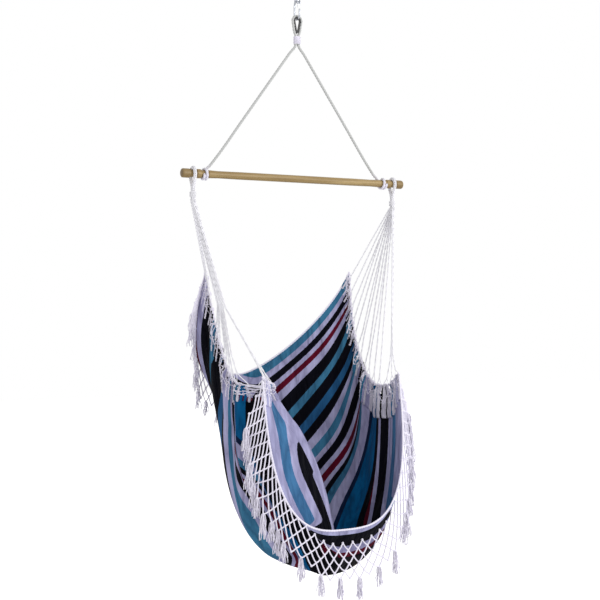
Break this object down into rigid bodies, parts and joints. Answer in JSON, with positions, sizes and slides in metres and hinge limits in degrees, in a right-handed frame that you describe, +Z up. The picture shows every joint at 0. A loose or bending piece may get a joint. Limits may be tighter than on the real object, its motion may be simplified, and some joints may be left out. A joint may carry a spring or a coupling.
{
  "type": "hammock chair",
  "caption": "Hanging hammock chair: striped cloth sling with netted fringes on fans of cords under a wooden spreader bar, rope bridle and swivel snap hook.",
  "frame": {"origin": "hang point: inner top of the swivel eye, where a ceiling hook bears", "axes": "+Z up, X along the spreader bar, +Y to the chair's back"},
  "size_m": [1, 0.719, 2.2829],
  "materials": {
    "steel": "zinc plated, bright",
    "spring_steel": "drawn wire",
    "thimble": "moulded black",
    "rope": "twisted cotton rope",
    "cord": "twisted cotton cord",
    "wood": "turned hardwood, clear varnish",
    "striped_cloth": "woven cotton, striped"
  },
  "bodies": {
    "hanger": {"swivel_eye": "steel"},
    "hook": {"snap_hook_body": "steel", "gate_pin": "steel", "gate_spring": "spring_steel"},
    "gate": {"snap_hook_gate": "steel"},
    "bridle": {"eye_thimble": "thimble", "bridle_rope": "rope", "rope_seizing": "cord", "spreader_bar": "wood"},
    "sling": {"clew_loop_left": "cord", "clew_loop_right": "cord", "clew_whipping_left": "cord", "clew_whipping_right": "cord", "end_braid_left": "cord", "end_braid_right": "cord", "sling_cloth": "striped_cloth", "front_hem_cord": "cord", "back_hem_cord": "cord", "front_fringe": "cord", "back_fringe": "cord", "clew_cord_left_01": "cord", "clew_cord_left_02": "cord", "clew_cord_left_03": "cord", "clew_cord_left_04": "cord", "clew_cord_left_05": "cord", "clew_cord_left_06": "cord", "clew_cord_left_07": "cord", "clew_cord_left_08": "cord", "clew_cord_left_09": "cord", "clew_cord_left_10": "cord", "clew_cord_left_11": "cord", "clew_cord_left_12": "cord", "clew_cord_left_13": "cord", "clew_cord_left_14": "cord", "clew_cord_right_01": "cord", "clew_cord_right_02": "cord", "clew_cord_right_03": "cord", "clew_cord_right_04": "cord", "clew_cord_right_05": "cord", "clew_cord_right_06": "cord", "clew_cord_right_07": "cord", "clew_cord_right_08": "cord", "clew_cord_right_09": "cord", "clew_cord_right_10": "cord", "clew_cord_right_11": "cord", "clew_cord_right_12": "cord", "clew_cord_right_13": "cord", "clew_cord_right_14": "cord"}
  },
  "joints": [
    {"name": "swivel_spin", "type": "hinge", "parent": "hanger", "child": "hook", "pos_m": [0, 0, -0.038], "axis": [0, 0, 1], "continuous": true},
    {"name": "gate_hinge", "type": "hinge", "parent": "hook", "child": "gate", "pos_m": [0, -0.0137, -0.05], "axis": [1, 0, 0], "range_deg": [0, 32], "stiffness_Nm_per_rad": 0.06, "springref_deg": -22.92},
    {"name": "bridle_swing", "type": "hinge", "parent": "hook", "child": "bridle", "pos_m": [0, 0, -0.1137], "axis": [0, 1, 0], "range_deg": [-25, 25]},
    {"name": "sling_swing", "type": "hinge", "parent": "bridle", "child": "sling", "pos_m": [0, 0, -0.741], "axis": [1, 0, 0], "range_deg": [-45, 45]}
  ]
}
